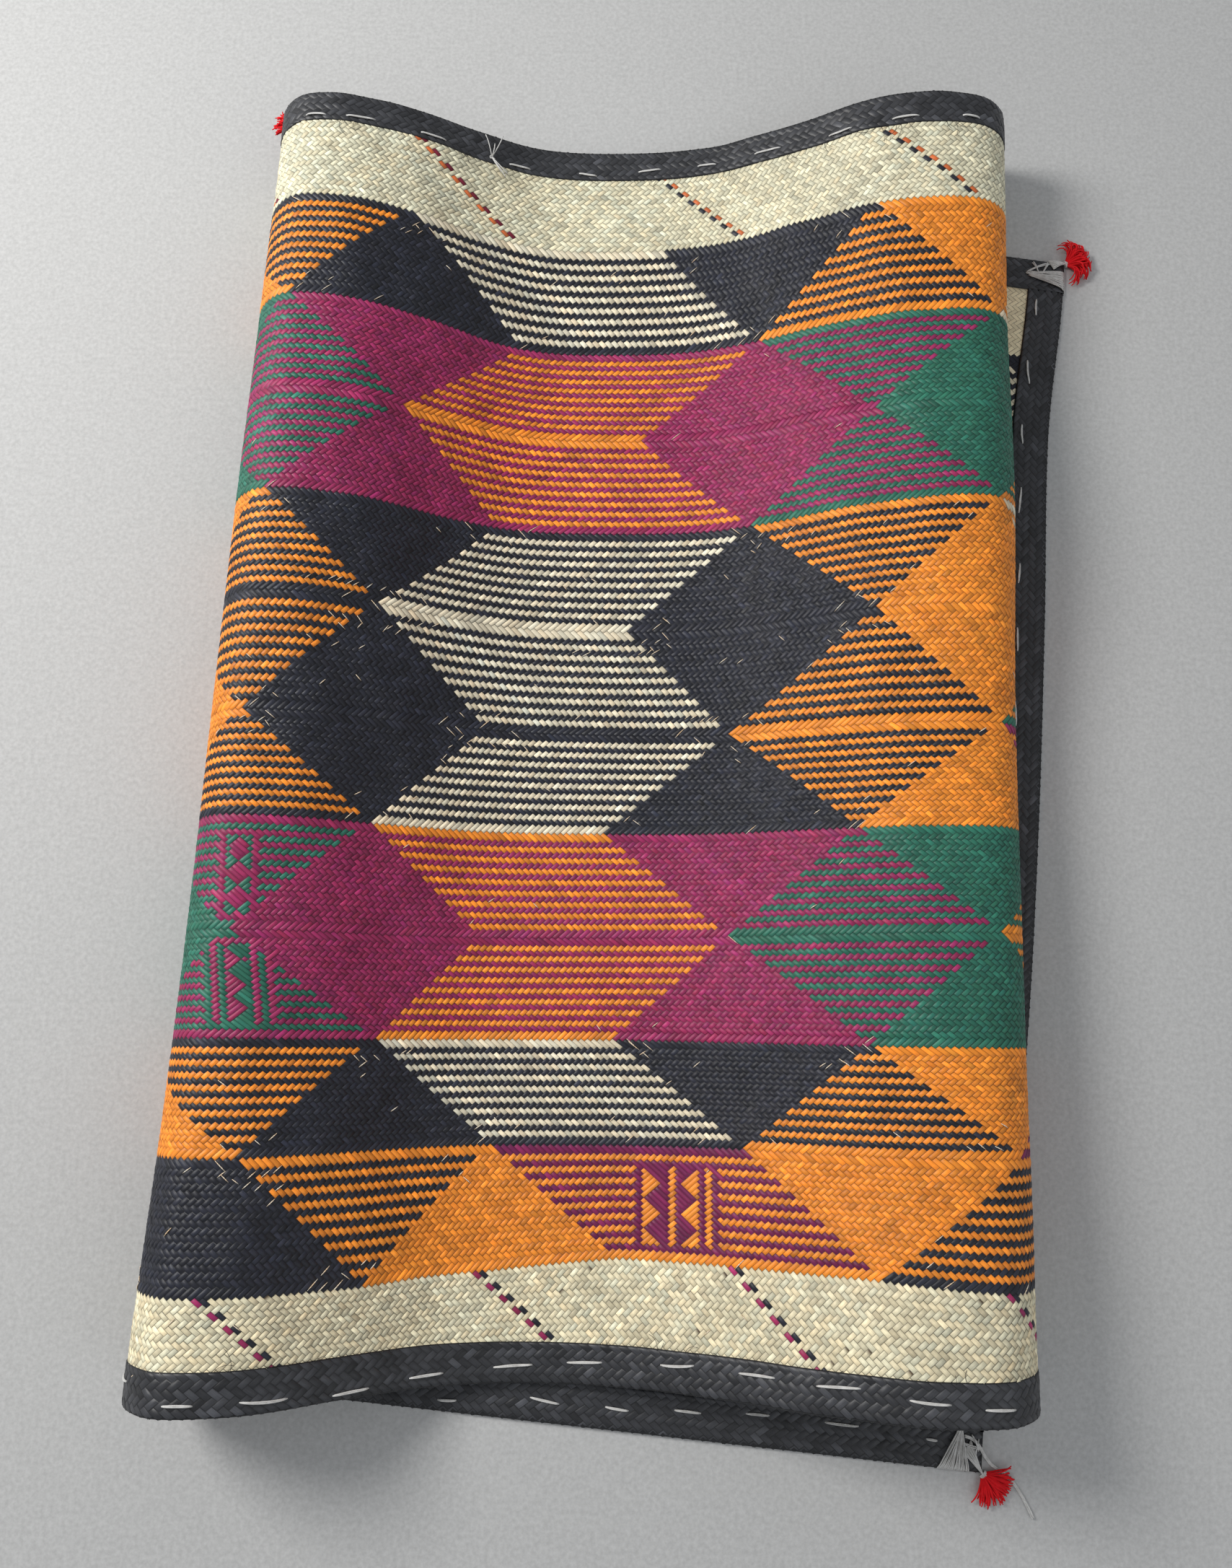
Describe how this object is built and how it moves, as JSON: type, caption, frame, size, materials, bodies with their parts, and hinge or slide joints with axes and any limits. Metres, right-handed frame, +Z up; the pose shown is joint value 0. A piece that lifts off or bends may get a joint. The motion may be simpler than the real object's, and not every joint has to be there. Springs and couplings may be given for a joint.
{
  "type": "folded woven mat",
  "caption": "Floor mat plaited from dyed leaf strips, bound in black with corner tassels, folded loosely in three and lying flat.",
  "frame": {"origin": "centre of the overall bounding box in plan, on the floor that the mat lies on", "axes": "+Z up; +Y along the folds, towards the mat's back edge in the picture; +X from the fold at the left towards the outer free end at the right"},
  "size_m": [1.0686, 1.5952, 0.1454],
  "materials": {
    "plaited_leaf": "dyed leaf strips, satin sheen",
    "black_band": "black plaited leaf, dull",
    "red_yarn": "matt wool yarn"
  },
  "bodies": {
    "root": {"mat_sheet": "plaited_leaf", "band_back": "black_band", "band_front": "black_band", "band_outer_end": "black_band", "band_inner_end": "black_band", "tassel_outer_back": "red_yarn", "tassel_outer_front": "red_yarn", "tassel_inner_back": "red_yarn", "tassel_inner_front": "red_yarn"}
  },
  "joints": []
}
